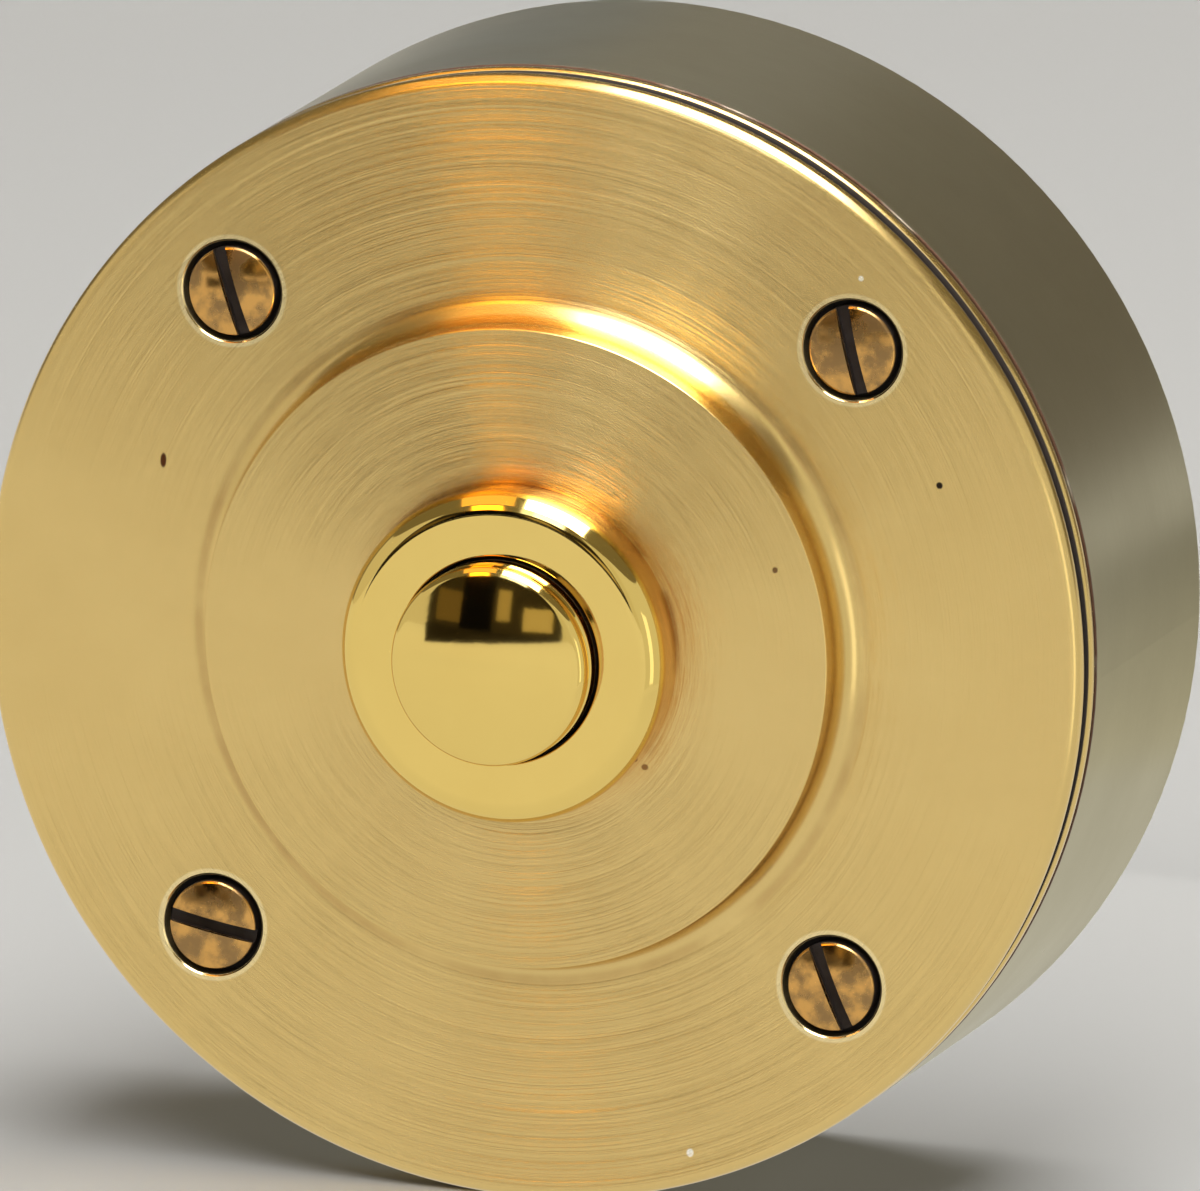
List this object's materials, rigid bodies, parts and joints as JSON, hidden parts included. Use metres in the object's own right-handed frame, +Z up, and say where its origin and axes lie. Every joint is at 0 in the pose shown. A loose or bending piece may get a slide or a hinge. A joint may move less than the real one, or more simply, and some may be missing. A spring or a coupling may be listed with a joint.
{
  "type": "bell push",
  "caption": "Round brass door bell push with a sprung flat button in a raised ring, on a deep round metal back box.",
  "frame": {"origin": "centre of the back box's flat back face, on the wall", "axes": "+Z up the door frame, +Y into the wall, so the button's face looks along -Y"},
  "size_m": [0.076, 0.0386, 0.076],
  "materials": {
    "nickel_box": "satin nickel over spun steel",
    "satin_brass": "satin, turned in fine rings",
    "polished_brass": "polished",
    "polished_brass_button": "mirror polished",
    "screw_brass": "darkened, slightly domed",
    "plain_brass": "as turned",
    "gasket": "matt",
    "black_rubber": "matt",
    "fibre": "matt red-brown fibre",
    "brown_phenolic": "moulded, half gloss",
    "phosphor_bronze": "rolled strip",
    "spring_steel": "drawn wire"
  },
  "bodies": {
    "housing": {"back_box": "nickel_box", "cable_grommet": "black_rubber", "cover_gasket": "gasket", "cover_plate": "satin_brass", "cover_screw_top_right": "screw_brass", "cover_screw_top_left": "screw_brass", "cover_screw_bottom_left": "screw_brass", "cover_screw_bottom_right": "screw_brass", "bezel_ring": "polished_brass", "bezel_washer": "plain_brass", "bezel_nut": "plain_brass", "return_spring": "spring_steel", "contact_block": "brown_phenolic", "fixed_contact_left": "phosphor_bronze", "fixed_contact_right": "phosphor_bronze", "terminal_screw_left": "plain_brass", "terminal_screw_right": "plain_brass", "terminal_washer_left": "plain_brass", "terminal_washer_right": "plain_brass", "terminal_nut_left": "plain_brass", "terminal_nut_right": "plain_brass", "block_pillar_bottom": "plain_brass", "block_pillar_top": "plain_brass", "block_screw_bottom": "plain_brass", "block_screw_top": "plain_brass"},
    "plunger": {"push_button": "polished_brass_button", "bridge_bush": "fibre", "contact_bridge": "phosphor_bronze", "bridge_collar": "fibre"}
  },
  "joints": [
    {"name": "button_press", "type": "slide", "parent": "housing", "child": "plunger", "axis": [0, 1, 0], "range_m": [0, 0.0025], "stiffness_N_per_m": 400, "springref_m": -0.003, "deforming": ["return_spring"]}
  ]
}
